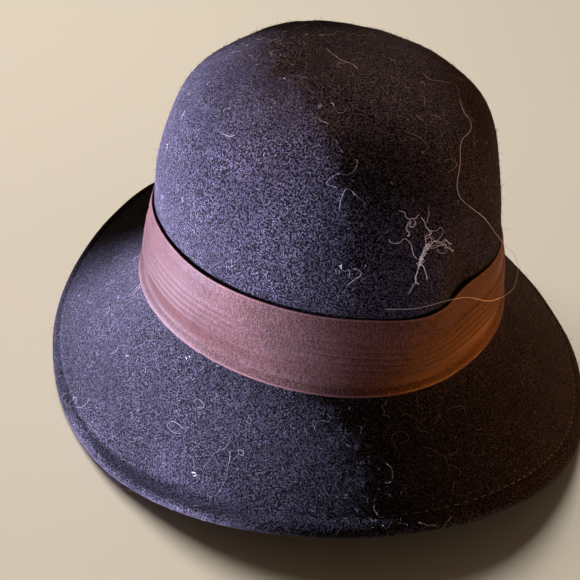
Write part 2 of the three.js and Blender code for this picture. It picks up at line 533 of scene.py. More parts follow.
@dataclass(frozen=True)
class FeltBody:
    """One blocked hood of felt: round crown, down-turned brim, and its edge folded under and sewn."""

    form: HatForm
    thickness: float = 2.3
    groove_reach: float = 0.7
    groove_inward: float = 0.2
    valley_reach: float = 11.0
    seam_step: float = 0.003
    still_apex: float = 0.2
    around: int = 330
    crown_rows: int = 108
    brim_rows: int = 44
    hem_rows: int = 54
    hem_start: float = 1.64
    edge_rows: int = 13
    under_rows: int = 9
    inner_brim_rows: int = 24
    inner_crown_rows: int = 40

    def inward(self, turn: Array, place: Array) -> Array:
        """How far each place lies from the brim's plain edge, in a straight line."""
        gap = self.form.surface(turn, place) - self.form.surface(turn, np.full_like(place, 2.0))
        return np.linalg.norm(gap, axis=-1)

    def valley(self, turn: Array, inward: Array) -> Array:
        """How far the brim bends down beside the seam: a fall to the seam, then a round hump's half.

        Args:
            turn: Turns in radians.
            inward: Distances from the plain edge.

        Returns:
            The depth, which both faces of the felt share.
        """
        degrees = signed_degrees(turn)
        seam, flank, depth = (
            read_table(HEM_SECTIONS, column, degrees) for column in ("seam", "flank", "valley")
        )
        past = inward - seam
        fall = np.clip(past / flank + 1, 0, 1)
        return depth * np.where(past < 0, ease(fall), bump(past, self.valley_reach))

    def relief(self, turn: Array, place: Array) -> Array:
        """How far the outer face stands over the plain surface.

        The hem's roll falls smoothly to the seam, a narrow round groove follows the seam, the valley
        lies beside it, and slow waves run over the whole hood.

        Args:
            turn: Turns in radians.
            place: Places from 0 to 2.

        Returns:
            The relief.
        """
        degrees, inward = signed_degrees(turn), self.inward(turn, place)
        seam, flank, roll, groove = (
            read_table(HEM_SECTIONS, column, degrees) for column in ("seam", "flank", "roll", "groove")
        )
        past = inward - seam
        fall = np.clip(past / flank + 1, 0, 1)
        hem = roll * (1 - ease(fall)) - groove * bump(past - self.groove_inward, self.groove_reach)
        hem = hem - self.valley(turn, inward)
        waves = ripple(HOOD_WAVES, turn, place) * np.clip(place / self.still_apex, 0, 1)
        return np.where(place > HEM_PLACE, hem, 0) + waves

    def rounding(self, turn: Array) -> tuple[Array, Array]:
        """The radius of the brim's rounded edge, and the place where the rounding starts."""
        turn = np.asarray(turn, float)
        degrees = signed_degrees(turn)
        puff, inset = (read_table(HEM_SECTIONS, column, degrees) for column in ("roll", "inset"))
        radius = (self.form.hem_thickness + puff) / 2
        return radius, self.form.edge_place(turn, radius + inset)

    def skin(self, turn: Array, place: Array, lift: Array | float = 0.0,
             lowest: float = 0.1) -> tuple[Array, Array]:
        """Points over the felt's outside, as it lies on the table, and the directions out of it.

        Past the start of the rounded edge the place runs on round a half circle, at the same scale.

        Args:
            turn: Turns in radians.
            place: Places from 0 to a little over 2.
            lift: How far over the felt each point is.
            lowest: The least height of a point.

        Returns:
            Points and outward directions.
        """
        turn, place = np.broadcast_arrays(turn, place)
        radius, start = self.rounding(turn)
        flat = np.minimum(place, start)
        point, normal, away = self.form.frame(turn, flat)
        scale = self.form.scales(turn, np.full_like(place, EDGE_PLACE))[1]
        angle = np.clip((place - start) * scale / radius, 0, math.pi)[..., None]
        out = normal * np.cos(angle) + away * np.sin(angle)
        point = point + normal * (self.relief(turn, flat) - radius)[..., None]
        point = point + out * (radius + lift)[..., None]
        return self.form.settle(point, lowest), self.form.tip(out)

    def build(self) -> bpy.types.Object:
        """Makes the felt: rings down the outside, round the folded edge and back up the inside.

        Returns:
            The felt's object.
        """
        form = self.form
        turn = FULL_TURN * np.arange(self.around) / self.around
        radius, start = self.rounding(turn)
        crown = np.linspace(0, 1, self.crown_rows + 1)[1:, None] + 0 * turn
        brim = np.linspace(1, self.hem_start, self.brim_rows + 1)[1:, None] + 0 * turn
        hem = self.hem_start + np.linspace(0, 1, self.hem_rows + 1)[1:, None] * (start - self.hem_start)
        scale = form.scales(turn, np.full_like(turn, EDGE_PLACE))[1]
        edge = start + np.linspace(0, math.pi, self.edge_rows + 1)[1:, None] * radius / scale
        outside = self.skin(turn, np.concatenate([crown, brim, hem, edge]), lowest=0.0)[0]

        seam = form.edge_place(turn, read_table(HEM_SECTIONS, "seam", signed_degrees(turn)))
        under = start + np.linspace(0, 1, self.under_rows + 1)[1:, None] * (seam - start)
        inner = 1 + np.linspace(1, 0, self.inner_brim_rows + 1)[:, None] * (seam - self.seam_step - 1)
        rest = np.linspace(1, 0, self.inner_crown_rows + 1)[1:-1, None] + 0 * turn
        bend = self.valley(turn + 0 * inner, self.inward(turn + 0 * inner, inner)) * (inner > HEM_PLACE)
        depth = np.concatenate([
            np.full_like(under, form.hem_thickness), self.thickness + bend, np.full_like(rest, self.thickness)
        ])
        point, normal, _ = form.frame(turn, np.concatenate([under, inner, rest]))
        inside = form.settle(point - normal * depth[..., None])

        rings = np.concatenate([outside, inside])
        apex = form.settle(np.array([[0, 0, form.crown_height], [0, 0, form.crown_height - self.thickness]]))
        points = np.concatenate([rings.reshape(-1, 3), apex])
        columns = np.arange(self.around)
        beside = (columns + 1) % self.around
        top, bottom = len(points) - 2, len(points) - 1
        last = (len(rings) - 1) * self.around
        fans = np.concatenate([
            np.stack([np.full(self.around, top), columns, beside], -1),
            np.stack([np.full(self.around, bottom), last + beside, last + columns], -1),
        ])
        return make_object("felt_hood", points, ring_quads(len(rings), self.around), fans)


# ---------- The ribbon band ----------


@dataclass(frozen=True)
class RibbonBand:
    """A wide ribbon round the crown's foot, with fine tucks, that flares over the brim's break.

    Its height is a share: 0 at its lower edge and 1 at its upper edge.
    """

    form: HatForm
    top_height: float = 38.0
    top_gap: float = 1.3
    thickness: float = 0.8
    tucks: int = 5
    tuck_start: float = 0.2675
    tuck_pitch: float = 0.0875
    tuck_height: float = 0.75
    tuck_lean: float = 0.35
    lean_start: float = 0.1
    end_tuck: float = 0.35
    end_fade: float = 0.5
    lap_height: float = 0.6
    lap_length: float = 16.0
    around: int = 640
    plain_rows: int = 30
    rows_in_tuck: tuple[float, ...] = (0, 0.05, 0.12, 0.24, 0.4, 0.57, 0.74, 0.87, 0.95)
    foot_rows: int = 34
    lip_rows: int = 4
    back_rows: int = 12
    fineness: int = 2001
    section_steps: int = 600

    def places(self, share: Array) -> Array:
        """The places that the ribbon's shares lie over, evenly spaced along its section at the front."""
        fine = np.linspace(0, 1, self.fineness)
        top = fine[np.argmax(self.form.meridian(fine)[1] <= self.top_height)]
        place = np.linspace(FLARE_STEPS[-1].place, top, self.section_steps)
        section = self.form.surface(np.zeros_like(place), place, Cloth.RIBBON)
        run = run_along(section)
        return np.interp(share, run / run[-1], place)

    def gap(self, turn: Array, place: Array) -> Array:
        """How far the ribbon's back stands off the felt: by the flare's steps, and less near its top."""
        top = self.places(np.array([1.0]))[0]
        keys = [top] + [step.place for step in FLARE_STEPS]
        flare = np.interp(place, keys, [self.top_gap] + [step.gap for step in FLARE_STEPS])
        tight = self.top_gap - read_table(BAND_SECTIONS, "gap", signed_degrees(turn))
        return flare - tight * np.clip((1 - place) / (1 - top), 0, 1)

    def relief(self, turn: Array, share: Array) -> Array:
        """The ribbon's outer relief: its bulge, its tucks, and a lap at the back.

        A tuck is one minus the cube of the distance from its middle, so that the folds between the tucks
        are sharp, and it leans a little outwards at its lower side.

        Args:
            turn: Turns in radians.
            share: Shares of the ribbon's height.

        Returns:
            The relief in millimetres.
        """
        degrees = signed_degrees(turn)
        steps = (share + ripple(TUCK_WAVES, turn, share) - self.tuck_start) / self.tuck_pitch
        part = steps - np.floor(steps)
        lean = self.tuck_lean * (1 - part) * np.clip(part / self.lean_start, 0, 1)
        pleat = 1 - abs(2 * part - 1) ** 3 + lean
        inside = (steps > 0) & (steps < self.tucks)
        ends = np.clip(np.minimum(steps, self.tucks - steps) / self.end_fade, 0, 1)
        pleat = np.where(inside, pleat, 0) * (self.end_tuck + (1 - self.end_tuck) * ends)
        relief = self.tuck_height * read_table(BAND_SECTIONS, "tuck", degrees) * pleat
        bulge = read_table(BULGE_STEPS, "out", share)
        relief = relief + read_table(BAND_SECTIONS, "bulge", degrees) * bulge
        behind = np.mod(turn, FULL_TURN) - math.pi
        lap = np.where(behind > 0, np.exp(-behind * self.form.half_length / self.lap_length), 0)
        return relief + self.lap_height * lap

    def build(self) -> bpy.types.Object:
        """Makes the ribbon: rings down its face, round its lower edge, up its back and round its upper edge.

        Returns:
            The ribbon's object, with a UV map in metres along and across the cloth.
        """
        form = self.form
        turn = FULL_TURN * np.arange(self.around) / self.around
        tuck_end = self.tuck_start + self.tucks * self.tuck_pitch
        tuck_rows = np.arange(self.tucks)[:, None] + np.array(self.rows_in_tuck)
        tuck_rows = (self.tuck_start + self.tuck_pitch * tuck_rows).ravel()
        foot = np.linspace(0, self.tuck_start, self.foot_rows, endpoint=False)
        plain = np.linspace(tuck_end, 1, self.plain_rows)
        rising = np.concatenate([foot, tuck_rows, plain])
        back = np.linspace(0, 1, self.back_rows)
        angle = np.linspace(0, math.pi, self.lip_rows + 2)[1:-1]
        half = self.thickness / 2

        share = np.concatenate([rising[::-1], np.zeros(self.lip_rows), back, np.ones(self.lip_rows)])
        place = self.places(share)[:, None]
        point, normal, away = form.frame(turn, place, Cloth.RIBBON)
        face = np.concatenate([np.ones(len(rising)), np.cos(angle), -np.ones(len(back)), -np.cos(angle)])
        past = np.concatenate([np.zeros(len(rising)), np.sin(angle), np.zeros(len(back)), -np.sin(angle)])
        relief = self.relief(*np.broadcast_arrays(turn, share[:, None])) * np.clip(face, 0, 1)[:, None]
        stand = self.gap(turn, place) + half + half * face[:, None] + relief
        rings = point + normal * stand[..., None] + away * (half * past)[:, None, None]
        quads = ring_quads(len(share), self.around, closed=True)
        made = make_object("ribbon_band", form.settle(rings.reshape(-1, 3)), quads)
        self.map_cloth(made, share)
        return made

    def map_cloth(self, made: bpy.types.Object, share: Array) -> None:
        """Gives the ribbon a UV map: metres along the ribbon, and its share across.

        Args:
            made: The ribbon's object, whose faces follow ring_quads.
            share: The share of each ring.
        """
        rows, columns = len(share), self.around
        length = FULL_TURN * math.sqrt((self.form.half_width**2 + self.form.half_length**2) / 2) * METRES
        row, column = np.meshgrid(np.arange(rows), np.arange(columns), indexing="ij")
        along = np.stack([column, column, column + 1, column + 1], -1) * length / columns
        level = share[np.stack([row, (row + 1) % rows, (row + 1) % rows, row], -1)]
        layer = made.data.uv_layers.new(name="cloth")
        layer.uv.foreach_set("vector", np.stack([along, level], -1).astype(np.float32).ravel())


# ---------- Stitches and loose fibres ----------


@dataclass(frozen=True)
class HemStitches:
    """The running stitches that hold the hem, seen as short dashes along its groove."""

    felt: FeltBody
    pitch: float = 4.6
    length: float = 3.3
    radius: float = 0.16
    dive: float = 0.4
    unevenness: float = 0.1
    seed: int = 11
    points: int = 7
    sides: int = 6
    fineness: int = 4001

    def build(self) -> bpy.types.Object:
        """Makes the stitches: short tubes whose ends dive into the felt as the sixth power of the share.

        Returns:
            The stitches' object.
        """
        fine = np.linspace(-math.pi, math.pi, self.fineness)
        inward = read_table(HEM_SECTIONS, "seam", np.degrees(fine)) + self.felt.groove_inward
        place = self.felt.form.edge_place(fine, inward)
        run = run_along(self.felt.skin(fine, place)[0])
        count = round(run[-1] / self.pitch)
        part = np.linspace(-0.5, 0.5, self.points)
        middles = run[-1] * (np.arange(count) + 0.5) / count
        jitter = np.random.default_rng(self.seed).normal(0, self.unevenness, (count, 2))
        along = middles[:, None] + self.length * (1 + jitter[:, :1]) * part + jitter[:, 1:]
        turn = np.interp(along, run, fine)
        height = read_table(HEM_SECTIONS, "stitch", np.degrees(turn))
        height = height - self.dive * (2 * part) ** 6
        paths, up = self.felt.skin(turn, np.interp(turn, fine, place), height)
        radii = np.full(paths.shape[:2], self.radius)
        return make_object("hem_stitches", *tubes(paths, up, radii, self.sides))


class Strand(NamedTuple):
    """A loose strand: where it starts, its heading from +turn towards the brim, and how it curls."""

    turn: float
    place: float
    heading: float
    length: float
    bend: float
    curl: float


@dataclass(frozen=True)
class StrandMaker:
    """Lays curly strands over the felt."""

    felt: FeltBody
    points: int
    sides: int
    crown_limits: tuple[float, float] = (0.004, 0.958)
    brim_limits: tuple[float, float] = (1.41, 2.06)
    ribbon_place: float = 1.2
    evenness: float = 1.7
    tip: float = 0.05

    def lay(self, starts: Array, heading: Array, length: Array, bend: Array, curl: Array, lift: Array,
            radius: Array, rng: np.random.Generator) -> tuple[Array, Array, Array]:
        """Lays strands whose direction turns evenly and also wanders, by sums of small steps.

        Args:
            starts: The turn in radians and the place of each strand's start.
            heading: The first direction in radians, from +turn towards the brim.
            length: The lengths.
            bend: How far each strand turns in all, in radians.
            curl: How strongly its direction wanders, in radians.
            lift: The height over the felt at the start, the middle and the end of each strand.
            radius: The radius of each strand.
            rng: The random numbers.

        Returns:
            Corner positions, quads and triangles.
        """
        share = np.linspace(0, 1, self.points)
        noise = rng.normal(size=(len(starts), self.points))
        smooth = (noise + np.roll(noise, 1, 1) + np.roll(noise, 2, 1)) / self.evenness
        wander = np.cumsum(smooth, 1) / math.sqrt(self.points)
        direction = heading[:, None] + bend[:, None] * share + curl[:, None] * wander
        step = length[:, None] / (self.points - 1)
        aside = np.cumsum(np.cos(direction) * step, 1)
        away = np.cumsum(np.sin(direction) * step, 1)
        round_scale, down_scale = self.felt.form.scales(starts[:, 0], starts[:, 1])
        turn = starts[:, :1] + aside / round_scale[:, None]
        place = starts[:, 1:] + away / down_scale[:, None]
        on_crown = starts[:, 1:] < self.ribbon_place
        place = np.where(on_crown, np.clip(place, *self.crown_limits), np.clip(place, *self.brim_limits))
        low, middle, high = np.moveaxis(lift[:, :, None], 1, 0)
        rise = low * (1 - share) ** 2 + 2 * middle * share * (1 - share) + high * share**2
        paths, up = self.felt.skin(turn, place, rise)
        taper = np.sqrt(np.clip(1 - (2 * share - 1) ** 6, self.tip, 1))
        return tubes(paths, up, radius[:, None] * taper, self.sides)


@dataclass(frozen=True)
class StrandKind:
    """How random strands differ: the ranges of their length, curl and radius, and how widely they bend."""

    length: tuple[float, float]
    bend: float
    curl: tuple[float, float]
    radius: tuple[float, float]

    def lay(self, maker: StrandMaker, starts: Array, lift: Array,
            rng: np.random.Generator) -> tuple[Array, Array, Array]:
        """Lays strands of this kind, heading anywhere.

        Args:
            maker: What lays them.
            starts: The turn in radians and the place of each strand's start.
            lift: The height over the felt at the start, the middle and the end of each strand.
            rng: The random numbers.

        Returns:
            Corner positions, quads and triangles.
        """
        count = len(starts)
        return maker.lay(
            starts,
            heading=rng.uniform(0, FULL_TURN, count),
            length=rng.uniform(*self.length, count),
            bend=rng.normal(0, self.bend, count),
            curl=rng.uniform(*self.curl, count),
            lift=lift,
            radius=rng.uniform(*self.radius, count),
            rng=rng,
        )


FUZZ = StrandKind(length=(1.6, 4.2), bend=1.6, curl=(0.5, 2.0), radius=(0.035, 0.06))
FAINT_LINT = StrandKind(length=(2.5, 9), bend=1.8, curl=(0.5, 1.8), radius=(0.03, 0.05))


class Zone(Enum):
    """A stretch of the hat that fibres grow on: its value is the lowest and highest place."""

    CROWN = (0.004, 0.955)
    BRIM = (1.42, 2.04)


@dataclass(frozen=True)
class FeltFuzz:
    """The felt's raised wool: short curly fibres that lie over it, and a few that stand up."""

    felt: FeltBody
    zone: Zone
    seed: int
    count: int = 5400
    spare: int = 4
    lying: tuple[float, float] = (0, 0.25)
    standing: tuple[float, float] = (0.4, 1.7)
    standing_share: float = 0.22
    tall: tuple[float, float] = (2.2, 4.6)
    tall_share: float = 0.014
    root: float = -0.05
    middle: float = 0.12
    middle_share: float = 0.3

    def starts(self, rng: np.random.Generator) -> Array:
        """Even random starts: places are drawn evenly and kept in proportion to the area they stand for."""
        low, high = self.zone.value
        drawn = rng.uniform([-math.pi, low], [math.pi, high], (self.count * self.spare, 2))
        round_scale, down_scale = self.felt.form.scales(drawn[:, 0], drawn[:, 1])
        area = round_scale * down_scale
        kept = rng.uniform(0, 1, len(drawn)) < area / area.max()
        return drawn[kept][: self.count]

    def build(self) -> bpy.types.Object:
        """Makes the fibres of one zone as one mesh."""
        rng = np.random.default_rng(self.seed)
        starts = self.starts(rng)
        count = len(starts)
        standing = rng.uniform(0, 1, count) < self.standing_share
        high = np.where(standing, rng.uniform(*self.standing, count), rng.uniform(*self.lying, count))
        high = np.where(rng.uniform(0, 1, count) < self.tall_share, rng.uniform(*self.tall, count), high)
        lift = np.stack([np.full(count, self.root), self.middle + high * self.middle_share, high], -1)
        mesh = FUZZ.lay(StrandMaker(self.felt, points=7, sides=3), starts, lift, rng)
        return make_object(f"felt_fuzz_{self.zone.name.lower()}", *mesh)


class Trail(NamedTuple):
    """Strands that run together: how many, how far they stray, their radius, and their turns and places."""

    strands: int
    stray: float
    radius: float
    route: tuple[tuple[float, float], ...]


TANGLE_TRAILS = (
    Trail(6, 1.1, 0.1, ((13.2, 0.777), (11.5, 0.79), (10.5, 0.808), (9.5, 0.825))),
    Trail(2, 0.3, 0.12, ((10, 0.82), (9.2, 0.84), (8.6, 0.86), (9.4, 0.877))),
    Trail(1, 0.1, 0.12, ((10, 0.82), (11.2, 0.832), (12, 0.855), (12, 0.868))),
    Trail(2, 0.6, 0.05, ((8.5, 0.865), (7.5, 0.885), (6.5, 0.895))),
    Trail(2, 0.7, 0.085, ((13, 0.78), (15, 0.774), (18.5, 0.781), (21, 0.793), (22.5, 0.8))),
    Trail(2, 0.7, 0.08, ((13, 0.782), (17, 0.787), (19.5, 0.797), (21.5, 0.813), (24, 0.825))),
    Trail(1, 0.1, 0.07, ((16, 0.795), (17, 0.807), (19, 0.815), (20.5, 0.81))),
    Trail(1, 0.1, 0.085, (
        (14, 0.74), (16.5, 0.747), (18.2, 0.742), (19, 0.755), (17.8, 0.768), (15.5, 0.772), (15, 0.757)
    )),
    Trail(2, 0.4, 0.085, ((11, 0.7), (12.4, 0.715), (13, 0.73), (14.3, 0.748), (12.4, 0.755), (12.3, 0.778))),
    Trail(1, 0.2, 0.11, ((4, 0.675), (5.8, 0.68), (6.6, 0.696), (8.6, 0.7), (9.6, 0.7), (11, 0.69))),
    Trail(2, 0.3, 0.07, ((8.5, 0.7), (9.3, 0.71), (8.3, 0.722), (7.3, 0.716), (8, 0.705))),
    Trail(2, 0.5, 0.06, ((7.8, 0.705), (6.6, 0.715), (6.6, 0.735), (7, 0.745))),
    Trail(1, 0.1, 0.08, ((14.4, 0.688), (14.2, 0.7), (13, 0.72))),
    Trail(1, 0.1, 0.1, (
        (0.6, 0.745), (1.8, 0.757), (4, 0.757), (5.7, 0.748), (7.5, 0.766), (8, 0.79), (9.3, 0.81)
    )),
    Trail(2, 0.5, 0.06, ((12, 0.76), (14, 0.758), (14.5, 0.77), (13, 0.78))),
)

LINT_TRAILS = (
    Trail(1, 0.1, 0.07, ((-9, 0.535), (-8, 0.545), (-9.5, 0.57), (-11.5, 0.58), (-14, 0.58), (-16.5, 0.59))),
    Trail(1, 0.1, 0.07, ((-16.5, 0.59), (-18, 0.61), (-16, 0.615), (-14.5, 0.62))),
    Trail(1, 0.1, 0.07, (
        (-13.5, 0.68), (-13.5, 0.65), (-12, 0.62), (-10.5, 0.62), (-7.5, 0.645), (-6.2, 0.65), (-6, 0.67)
    )),
    Trail(1, 0.1, 0.07, ((-12.5, 0.825), (-11.5, 0.835), (-10, 0.83), (-10, 0.855))),
    Trail(1, 0.1, 0.06, ((-9, 0.825), (-7, 0.832), (-7, 0.845), (-8.5, 0.857), (-10.5, 0.875))),
    Trail(1, 0.1, 0.075, ((-32, 1.745), (-32.5, 1.78), (-34, 1.805), (-35, 1.865))),
    Trail(1, 0.1, 0.07, ((-31, 1.78), (-30.3, 1.815), (-30, 1.84), (-29.5, 1.875), (-30, 1.92))),
    Trail(1, 0.1, 0.06, ((-29.5, 1.77), (-28.4, 1.77), (-28, 1.785), (-29, 1.785), (-29.5, 1.77))),
    Trail(1, 0.1, 0.065, (
        (-44, 1.77), (-46.5, 1.76), (-48, 1.765), (-48.5, 1.785), (-46, 1.795), (-43.5, 1.785)
    )),
    Trail(1, 0.1, 0.05, ((-46, 1.655), (-45.5, 1.63), (-43.5, 1.635), (-42.5, 1.655), (-44, 1.665))),
    Trail(1, 0.1, 0.065, ((-74, 1.97), (-75, 1.96), (-75, 1.945), (-74, 1.94), (-73.5, 1.95))),
    Trail(1, 0.1, 0.06, ((-71.5, 1.9), (-71, 1.915), (-71.5, 1.94), (-73, 1.955))),
    Trail(1, 0.1, 0.05, ((-15, 1.615), (-15, 1.59), (-14.5, 1.565), (-13, 1.555), (-11.5, 1.57))),
    Trail(2, 0.2, 0.07, ((2, 1.415), (1.5, 1.445), (0.5, 1.46), (1, 1.495), (0.5, 1.52), (1.5, 1.525))),
    Trail(1, 0.1, 0.06, ((-4.5, 1.52), (-3.5, 1.56), (-5, 1.59))),
    Trail(1, 0.1, 0.06, ((4.5, 1.55), (5.5, 1.53), (7, 1.555), (8.5, 1.595), (9, 1.64))),
    Trail(1, 0.1, 0.05, ((11, 1.415), (10, 1.455), (10, 1.505), (10.5, 1.53))),
    Trail(1, 0.1, 0.07, (
        (0.5, 1.715), (1.5, 1.695), (1, 1.67), (1.5, 1.645), (3, 1.63), (4.5, 1.65), (4.5, 1.68), (2, 1.695)
    )),
    Trail(1, 0.1, 0.07, (
        (6.5, 1.725), (8, 1.74), (9, 1.765), (10, 1.785),
        (10, 1.815), (11, 1.835), (11.5, 1.855), (10.5, 1.87)
    )),
    Trail(1, 0.1, 0.055, ((-1.5, 1.765), (-0.5, 1.795), (-0.5, 1.825), (-1, 1.845), (-2, 1.85))),
    Trail(1, 0.1, 0.055, ((9.5, 1.88), (8.5, 1.905), (8.5, 1.92), (10, 1.93), (11.5, 1.925))),
    Trail(2, 0.2, 0.075, ((1.5, 1.975), (2.5, 1.985), (4, 1.99))),
    Trail(2, 0.2, 0.07, ((6.5, 1.975), (5, 1.995), (4, 2.01))),
    Trail(1, 0.1, 0.06, ((14, 2), (16, 2.02), (17.5, 2.01), (17, 1.995))),
    Trail(1, 0.1, 0.055, ((14.5, 1.585), (13, 1.61), (11.5, 1.635))),
    Trail(1, 0.1, 0.055, ((20.5, 1.59), (21.5, 1.605), (20.5, 1.64))),
    Trail(1, 0.1, 0.055, ((18.5, 1.81), (18, 1.825), (16.5, 1.825))),
    Trail(2, 0.2, 0.07, ((-78, 0.035), (-27, 0.07), (-10, 0.105), (5, 0.14), (7.5, 0.175))),
    Trail(1, 0.1, 0.06, (
        (57, 0.31), (54, 0.345), (57.5, 0.37), (62, 0.395), (66, 0.42), (62.5, 0.44), (56.5, 0.455)
    )),
    Trail(1, 0.1, 0.05, ((50, 0.495), (53, 0.525), (52.5, 0.545), (47.5, 0.56), (44, 0.585))),
    Trail(1, 0.1, 0.05, ((12, 0.46), (15, 0.475), (18.5, 0.495), (20, 0.52))),
    Trail(1, 0.1, 0.055, ((24.5, 0.58), (26.5, 0.578), (30, 0.59), (30, 0.605), (24.5, 0.61))),
    Trail(2, 0.3, 0.05, ((30.5, 0.44), (33.5, 0.46), (34.5, 0.47))),
    Trail(2, 0.2, 0.06, ((23, 0.425), (24, 0.445))),
    Trail(2, 0.3, 0.055, ((-60, 0.57), (-56, 0.565), (-54.5, 0.555))),
)

LINT_SPECKS = (
    Strand(-56, 1.47, -30, 2.2, 40, 0.3),
    Strand(-55, 1.455, -60, 1.5, 80, 0.2),
    Strand(-71.5, 1.70, -70, 1.7, 20, 0.2),
    Strand(-37.5, 1.885, -5, 2.4, 5, 0.1),
    Strand(-36.8, 1.895, -30, 2.2, 5, 0.1),
    Strand(-53, 0.30, 10, 1.1, 0, 0),
    Strand(-57.5, 0.215, 120, 2, 30, 0.2),
    Strand(2.5, 0.595, 80, 1.8, 0, 0.1),
    Strand(16.5, 0.43, 0, 0.9, 0, 0),
    Strand(16.5, 0.535, 0, 0.9, 0, 0),
    Strand(26.5, 0.70, -40, 1.5, 10, 0.2),
    Strand(-40.5, 0.565, 90, 2, 0, 0.1),
    Strand(-68.5, 0.80, 0, 2.2, 40, 0.4),
    Strand(1.2, 1.522, 30, 1.5, 60, 0.3),
    Strand(1.5, 1.98, 0, 1.3, 60, 0.3),
    Strand(-13, 0.82, 10, 1.6, 60, 0.3),
    Strand(-12.2, 0.815, 80, 1.4, 60, 0.3),
    Strand(0.7, 0.748, 0, 1.0, 60, 0.3),
    Strand(14.3, 0.688, -80, 1.2, 0, 0.1),
    Strand(39, 1.855, 0, 1.0, 0, 0),
    Strand(22, 1.915, 0, 1.3, 40, 0.2),
    Strand(40, 1.81, 60, 1.1, 0, 0),
    Strand(-3.5, 1.975, 0, 0.9, 0, 0),
)


def follow(passed: Array, count: int) -> Array:
    """A smooth curve through points: cubic pieces whose slope at a point joins the points beside it.

    Args:
        passed: The points, one row each.
        count: How many points the curve has.

    Returns:
        The curve's points.
    """
    knots = np.linspace(0, len(passed) - 1, count)
    low = np.minimum(knots.astype(int), len(passed) - 2)
    t = (knots - low)[:, None]
    slopes = np.gradient(passed, axis=0)
    start, end = passed[low], passed[low + 1]
    eased = start + (end - start) * t * t * (3 - 2 * t)
    return eased + t * (1 - t) ** 2 * slopes[low] - t * t * (1 - t) * slopes[low + 1]


def join(parts: Sequence[tuple[Array, Array, Array]]) -> tuple[Array, Array, Array]:
    """Puts meshes together: their points follow one another and their corner numbers move up."""
    firsts = np.cumsum([0] + [len(part[0]) for part in parts[:-1]])
    points = np.concatenate([part[0] for part in parts])
    quads = np.concatenate([part[1] + first for part, first in zip(parts, firsts)])
    triangles = np.concatenate([part[2] + first for part, first in zip(parts, firsts)])
    return points, quads, triangles


@dataclass(frozen=True)
class Lint:
    """Pale lint that clings to the felt: a tangle and curls in known spots, and faint curls all over."""

    felt: FeltBody
    scattered: int = 300
    seed: int = 5
    tangle_seed: int = 6
    trail_points: int = 22
    trail_sides: int = 5
    trail_lift: float = 0.25
    trail_thickness: tuple[float, float] = (0.7, 1.1)
    sway_rates: tuple[float, float] = (1, 9)
    speck_lift: tuple[float, float, float] = (0.1, 0.3, 0.15)
    speck_radius: tuple[float, float] = (0.13, 0.2)
    zone_gap: float = 0.1
    faint_root: float = 0.05
    faint_middle: float = 0.3
    faint_tips: tuple[float, float] = (0.1, 0.8)

    def build(self) -> bpy.types.Object:
        """Makes the trails, the specks and the scattered curls as one mesh."""
        rng = np.random.default_rng(self.seed)
        parts = [self.trail(row, rng) for row in LINT_TRAILS]
        parts.append(self.specks(rng))
        parts += [self.scatter(zone, self.scattered // 2, rng) for zone in Zone]
        return make_object("lint", *join(parts))

    def build_tangle(self) -> bpy.types.Object:
        """Makes the white tangle on the crown's front as one mesh."""
        rng = np.random.default_rng(self.tangle_seed)
        return make_object("lint_tangle", *join([self.trail(row, rng) for row in TANGLE_TRAILS]))

    def trail(self, row: Trail, rng: np.random.Generator) -> tuple[Array, Array, Array]:
        """Lays the strands of one trail, each swaying off its route by a sum of three slow waves.

        Args:
            row: The trail.
            rng: The random numbers.

        Returns:
            Corner positions, quads and triangles.
        """
        route = follow(np.array(row.route, float), self.trail_points)
        share = np.linspace(0, 1, len(route))
        slow, fast = self.sway_rates
        waves = rng.uniform([slow, 0], [fast, FULL_TURN], (row.strands, 3, 3, 2))
        sway = np.sin(waves[..., :1] * share * 3 + waves[..., 1:]).sum(2) * row.stray / 2
        turn, place = np.radians(route[:, 0]), route[:, 1]
        round_scale, down_scale = self.felt.form.scales(turn, np.minimum(place, EDGE_PLACE))
        lift = self.trail_lift + self.trail_lift * np.clip(sway[:, 2] + row.stray, 0, 2)
        paths, up = self.felt.skin(turn + sway[:, 0] / round_scale, place + sway[:, 1] / down_scale, lift)
        radii = row.radius * rng.uniform(*self.trail_thickness, (row.strands, 1)) * np.ones_like(share)
        return tubes(paths, up, radii, self.trail_sides)

    def specks(self, rng: np.random.Generator) -> tuple[Array, Array, Array]:
        """Lays the short thick bits."""
        turn, place, heading, length, bend, curl = np.array(LINT_SPECKS, float).T
        count = len(LINT_SPECKS)
        return StrandMaker(self.felt, points=8, sides=5).lay(
            np.stack([np.radians(turn), place], -1),
            heading=np.radians(heading),
            length=length,
            bend=np.radians(bend),
            curl=curl,
            lift=np.tile(self.speck_lift, (count, 1)),
            radius=rng.uniform(*self.speck_radius, count),
            rng=rng,
        )

    def scatter(self, zone: Zone, count: int, rng: np.random.Generator) -> tuple[Array, Array, Array]:
        """Lays faint curls at random over a zone.

        Args:
            zone: Where they lie.
            count: How many.
            rng: The random numbers.

        Returns:
            Corner positions, quads and triangles.
        """
        low, high = zone.value
        starts = rng.uniform([-math.pi, low + self.zone_gap], [math.pi, high], (count, 2))
        tips = rng.uniform(*self.faint_tips, count)
        lift = np.stack([np.full(count, self.faint_root), np.full(count, self.faint_middle), tips], -1)
        return FAINT_LINT.lay(StrandMaker(self.felt, points=14, sides=3), starts, lift, rng)


class HairPoint(NamedTuple):
    """A point that the long hair passes: its turn in degrees, its place, and its height over the felt."""

    turn: float
    place: float
    lift: float


